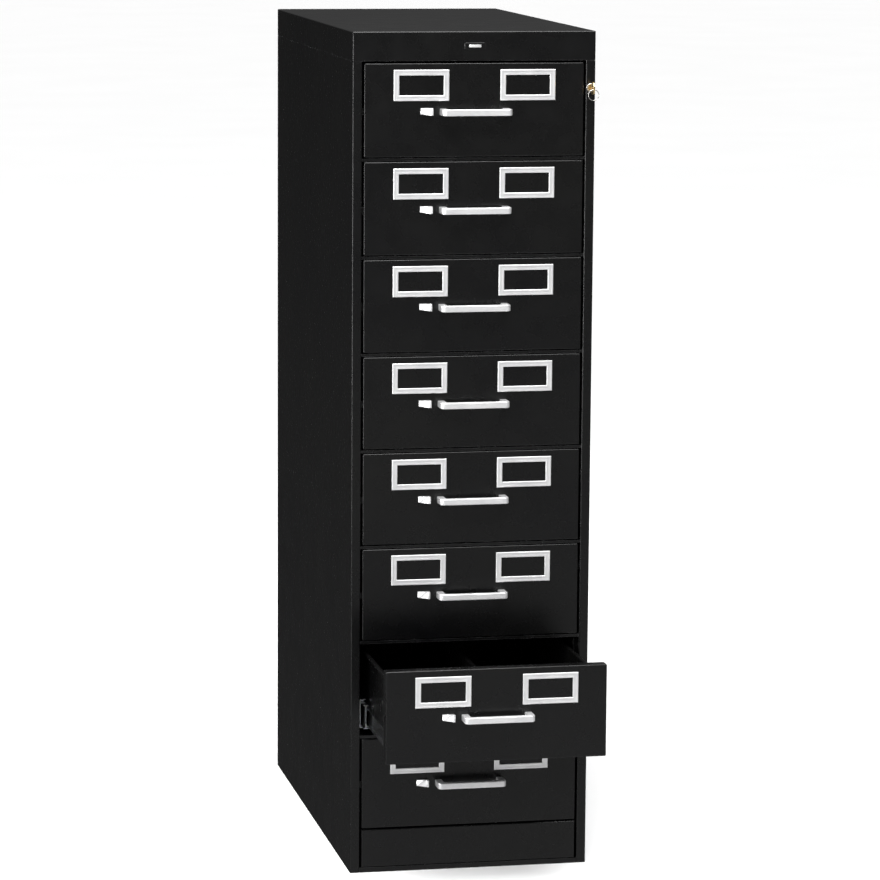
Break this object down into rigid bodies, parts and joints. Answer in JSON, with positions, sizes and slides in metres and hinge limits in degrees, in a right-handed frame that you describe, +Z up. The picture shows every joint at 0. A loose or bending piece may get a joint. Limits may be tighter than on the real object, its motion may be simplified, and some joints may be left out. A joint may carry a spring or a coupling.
{
  "type": "card file cabinet",
  "caption": "Tall narrow steel card file cabinet with full-width shallow drawers on telescopic slides, paired label holders, bridge handles, thumb latches and a key lock.",
  "frame": {"origin": "centre of the cabinet's base, on the floor, midway between the sides and between the closed fronts and the back", "axes": "+Z up, +X to the right as seen from the front, and the fronts face -Y"},
  "size_m": [0.381, 0.952, 1.321],
  "materials": {
    "black_enamel": "smooth semi-gloss baked enamel",
    "zinc_steel": "bright zinc-plated steel",
    "bright_aluminium": "satin anodised aluminium",
    "nickel": "bright nickel plate",
    "brass": "polished brass"
  },
  "bodies": {
    "cabinet": {"wrapper": "black_enamel", "top_cap": "black_enamel", "name_plate": "black_enamel", "base_pan": "black_enamel", "kick_plate": "black_enamel", "inner_posts": "black_enamel", "cross_rails": "black_enamel", "slide_rails": "zinc_steel", "lock_case": "nickel"},
    "lock_cylinder": {"lock_plug": "brass", "lock_key": "brass"},
    "lock_bar": {"lock_bar": "zinc_steel"},
    "drawer_1": {"drawer_1_front": "black_enamel", "drawer_1_tray": "black_enamel", "drawer_1_label_holders": "bright_aluminium", "drawer_1_handle": "bright_aluminium"},
    "drawer_1_slides": {"drawer_1_slides": "zinc_steel"},
    "drawer_1_latch": {"drawer_1_latch": "bright_aluminium"},
    "drawer_2": {"drawer_2_front": "black_enamel", "drawer_2_tray": "black_enamel", "drawer_2_label_holders": "bright_aluminium", "drawer_2_handle": "bright_aluminium"},
    "drawer_2_slides": {"drawer_2_slides": "zinc_steel"},
    "drawer_2_latch": {"drawer_2_latch": "bright_aluminium"},
    "drawer_3": {"drawer_3_front": "black_enamel", "drawer_3_tray": "black_enamel", "drawer_3_label_holders": "bright_aluminium", "drawer_3_handle": "bright_aluminium"},
    "drawer_3_slides": {"drawer_3_slides": "zinc_steel"},
    "drawer_3_latch": {"drawer_3_latch": "bright_aluminium"},
    "drawer_4": {"drawer_4_front": "black_enamel", "drawer_4_tray": "black_enamel", "drawer_4_label_holders": "bright_aluminium", "drawer_4_handle": "bright_aluminium"},
    "drawer_4_slides": {"drawer_4_slides": "zinc_steel"},
    "drawer_4_latch": {"drawer_4_latch": "bright_aluminium"},
    "drawer_5": {"drawer_5_front": "black_enamel", "drawer_5_tray": "black_enamel", "drawer_5_label_holders": "bright_aluminium", "drawer_5_handle": "bright_aluminium"},
    "drawer_5_slides": {"drawer_5_slides": "zinc_steel"},
    "drawer_5_latch": {"drawer_5_latch": "bright_aluminium"},
    "drawer_6": {"drawer_6_front": "black_enamel", "drawer_6_tray": "black_enamel", "drawer_6_label_holders": "bright_aluminium", "drawer_6_handle": "bright_aluminium"},
    "drawer_6_slides": {"drawer_6_slides": "zinc_steel"},
    "drawer_6_latch": {"drawer_6_latch": "bright_aluminium"},
    "drawer_7": {"drawer_7_front": "black_enamel", "drawer_7_tray": "black_enamel", "drawer_7_label_holders": "bright_aluminium", "drawer_7_handle": "bright_aluminium"},
    "drawer_7_slides": {"drawer_7_slides": "zinc_steel"},
    "drawer_7_latch": {"drawer_7_latch": "bright_aluminium"},
    "drawer_8": {"drawer_8_front": "black_enamel", "drawer_8_tray": "black_enamel", "drawer_8_label_holders": "bright_aluminium", "drawer_8_handle": "bright_aluminium"},
    "drawer_8_slides": {"drawer_8_slides": "zinc_steel"},
    "drawer_8_latch": {"drawer_8_latch": "bright_aluminium"}
  },
  "joints": [
    {"name": "lock_bar_lift", "type": "slide", "parent": "cabinet", "child": "lock_bar", "axis": [0, 0, 1], "range_m": [0, 0.005]},
    {"name": "lock_turn", "type": "hinge", "parent": "cabinet", "child": "lock_cylinder", "pos_m": [0.183, -0.362, 1.2335], "axis": [0, 1, 0], "range_deg": [0, 90]},
    {"name": "drawer_1_pull", "type": "slide", "parent": "cabinet", "child": "drawer_1", "axis": [0, -1, 0], "range_m": [0, 0.61]},
    {"name": "drawer_1_slides_follow", "type": "slide", "parent": "cabinet", "child": "drawer_1_slides", "axis": [0, -1, 0], "range_m": [0, 0.305]},
    {"name": "drawer_1_latch_slide", "type": "slide", "parent": "drawer_1", "child": "drawer_1_latch", "axis": [1, 0, 0], "range_m": [0, 0.006], "stiffness_N_per_m": 300},
    {"name": "drawer_2_pull", "type": "slide", "parent": "cabinet", "child": "drawer_2", "axis": [0, -1, 0], "range_m": [0, 0.61]},
    {"name": "drawer_2_slides_follow", "type": "slide", "parent": "cabinet", "child": "drawer_2_slides", "axis": [0, -1, 0], "range_m": [0, 0.305]},
    {"name": "drawer_2_latch_slide", "type": "slide", "parent": "drawer_2", "child": "drawer_2_latch", "axis": [1, 0, 0], "range_m": [0, 0.006], "stiffness_N_per_m": 300},
    {"name": "drawer_3_pull", "type": "slide", "parent": "cabinet", "child": "drawer_3", "axis": [0, -1, 0], "range_m": [0, 0.61]},
    {"name": "drawer_3_slides_follow", "type": "slide", "parent": "cabinet", "child": "drawer_3_slides", "axis": [0, -1, 0], "range_m": [0, 0.305]},
    {"name": "drawer_3_latch_slide", "type": "slide", "parent": "drawer_3", "child": "drawer_3_latch", "axis": [1, 0, 0], "range_m": [0, 0.006], "stiffness_N_per_m": 300},
    {"name": "drawer_4_pull", "type": "slide", "parent": "cabinet", "child": "drawer_4", "axis": [0, -1, 0], "range_m": [0, 0.61]},
    {"name": "drawer_4_slides_follow", "type": "slide", "parent": "cabinet", "child": "drawer_4_slides", "axis": [0, -1, 0], "range_m": [0, 0.305]},
    {"name": "drawer_4_latch_slide", "type": "slide", "parent": "drawer_4", "child": "drawer_4_latch", "axis": [1, 0, 0], "range_m": [0, 0.006], "stiffness_N_per_m": 300},
    {"name": "drawer_5_pull", "type": "slide", "parent": "cabinet", "child": "drawer_5", "axis": [0, -1, 0], "range_m": [0, 0.61]},
    {"name": "drawer_5_slides_follow", "type": "slide", "parent": "cabinet", "child": "drawer_5_slides", "axis": [0, -1, 0], "range_m": [0, 0.305]},
    {"name": "drawer_5_latch_slide", "type": "slide", "parent": "drawer_5", "child": "drawer_5_latch", "axis": [1, 0, 0], "range_m": [0, 0.006], "stiffness_N_per_m": 300},
    {"name": "drawer_6_pull", "type": "slide", "parent": "cabinet", "child": "drawer_6", "axis": [0, -1, 0], "range_m": [0, 0.61]},
    {"name": "drawer_6_slides_follow", "type": "slide", "parent": "cabinet", "child": "drawer_6_slides", "axis": [0, -1, 0], "range_m": [0, 0.305]},
    {"name": "drawer_6_latch_slide", "type": "slide", "parent": "drawer_6", "child": "drawer_6_latch", "axis": [1, 0, 0], "range_m": [0, 0.006], "stiffness_N_per_m": 300},
    {"name": "drawer_7_pull", "type": "slide", "parent": "cabinet", "child": "drawer_7", "axis": [0, -1, 0], "range_m": [-0.2, 0.41]},
    {"name": "drawer_7_slides_follow", "type": "slide", "parent": "cabinet", "child": "drawer_7_slides", "axis": [0, -1, 0], "range_m": [-0.1, 0.205]},
    {"name": "drawer_7_latch_slide", "type": "slide", "parent": "drawer_7", "child": "drawer_7_latch", "axis": [1, 0, 0], "range_m": [0, 0.006], "stiffness_N_per_m": 300},
    {"name": "drawer_8_pull", "type": "slide", "parent": "cabinet", "child": "drawer_8", "axis": [0, -1, 0], "range_m": [0, 0.61]},
    {"name": "drawer_8_slides_follow", "type": "slide", "parent": "cabinet", "child": "drawer_8_slides", "axis": [0, -1, 0], "range_m": [0, 0.305]},
    {"name": "drawer_8_latch_slide", "type": "slide", "parent": "drawer_8", "child": "drawer_8_latch", "axis": [1, 0, 0], "range_m": [0, 0.006], "stiffness_N_per_m": 300}
  ],
  "couplings": [
    {"joint": "lock_turn", "follows": "lock_bar_lift", "rad_per_m": 314},
    {"joint": "drawer_1_slides_follow", "follows": "drawer_1_pull", "ratio": 0.5},
    {"joint": "drawer_2_slides_follow", "follows": "drawer_2_pull", "ratio": 0.5},
    {"joint": "drawer_3_slides_follow", "follows": "drawer_3_pull", "ratio": 0.5},
    {"joint": "drawer_4_slides_follow", "follows": "drawer_4_pull", "ratio": 0.5},
    {"joint": "drawer_5_slides_follow", "follows": "drawer_5_pull", "ratio": 0.5},
    {"joint": "drawer_6_slides_follow", "follows": "drawer_6_pull", "ratio": 0.5},
    {"joint": "drawer_7_slides_follow", "follows": "drawer_7_pull", "ratio": 0.5},
    {"joint": "drawer_8_slides_follow", "follows": "drawer_8_pull", "ratio": 0.5}
  ]
}
